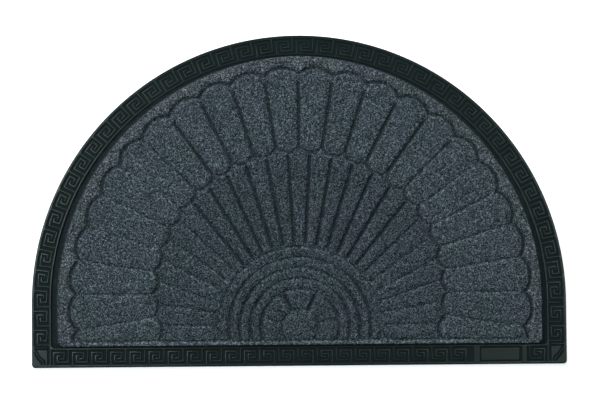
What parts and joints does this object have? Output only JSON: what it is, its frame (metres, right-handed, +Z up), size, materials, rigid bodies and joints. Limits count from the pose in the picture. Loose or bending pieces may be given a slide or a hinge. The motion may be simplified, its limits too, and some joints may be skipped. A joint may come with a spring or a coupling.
{
  "type": "half-round doormat",
  "caption": "Half-round entrance mat: moulded rubber tray with a raised key border and a bare plaque, holding a dark carpet inlay pressed into a fan.",
  "frame": {"origin": "on the floor, under the middle of the mat's box", "axes": "+X along the straight edge to the right, +Y from the straight edge to the top of the arc, +Z up through the mat's thickness"},
  "size_m": [0.75, 0.465, 0.0085],
  "materials": {
    "rubber": "dull moulded black-green rubber",
    "carpet": "short needle-felt pile, heathered blue-grey and charcoal, pressed into grooves"
  },
  "bodies": {
    "root": {"rubber_tray": "rubber", "carpet_inlay": "carpet"}
  },
  "joints": []
}
